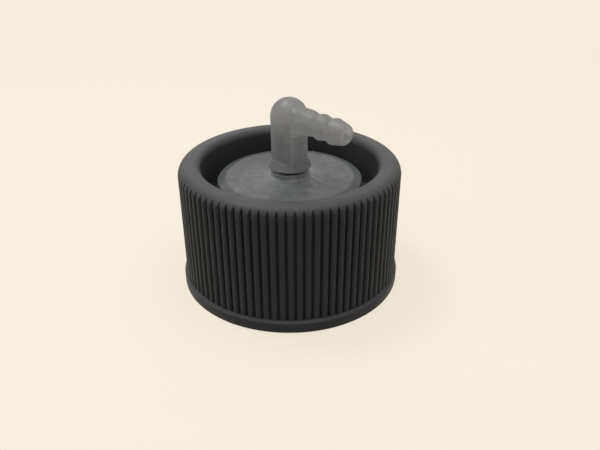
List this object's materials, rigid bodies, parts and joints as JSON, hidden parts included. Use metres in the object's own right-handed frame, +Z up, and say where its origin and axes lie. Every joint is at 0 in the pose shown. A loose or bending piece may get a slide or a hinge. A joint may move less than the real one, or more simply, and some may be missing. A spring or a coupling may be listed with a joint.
{
  "type": "dry break cap",
  "caption": "Ribbed screw cap for a bottle neck with a swivelling valve disc and a 90 degree hose barb elbow; a sprung poppet shuts its nose.",
  "frame": {"origin": "centre of the nut's open base, in the plane that it stands on", "axes": "+Z up the cap's axis, +X along the hose barb, +Y completes the right hand frame"},
  "size_m": [0.049, 0.049, 0.0415],
  "materials": {
    "nut_plastic": "moulded, fine grain",
    "natural_plastic": "moulded, natural translucent grey",
    "elbow_plastic": "moulded, natural translucent grey",
    "poppet_plastic": "moulded, natural white",
    "black_rubber": "smooth",
    "spring_steel": "drawn wire"
  },
  "bodies": {
    "nut": {"coupling_nut": "nut_plastic"},
    "hose_side": {"valve_body": "natural_plastic", "neck_gasket": "black_rubber", "probe_o_ring": "black_rubber", "elbow_o_ring": "black_rubber", "elbow_fitting": "elbow_plastic", "spring_guide": "poppet_plastic", "poppet_spring": "spring_steel"},
    "valve_poppet": {"poppet": "poppet_plastic", "poppet_seal": "black_rubber"}
  },
  "joints": [
    {"name": "hose_swivel", "type": "hinge", "parent": "nut", "child": "hose_side", "pos_m": [0, 0, 0.0166], "axis": [0, 0, 1], "continuous": true},
    {"name": "poppet_lift", "type": "slide", "parent": "hose_side", "child": "valve_poppet", "axis": [0, 0, 1], "range_m": [0, 0.003], "stiffness_N_per_m": 250, "springref_m": -0.004, "deforming": ["poppet_spring"]}
  ]
}
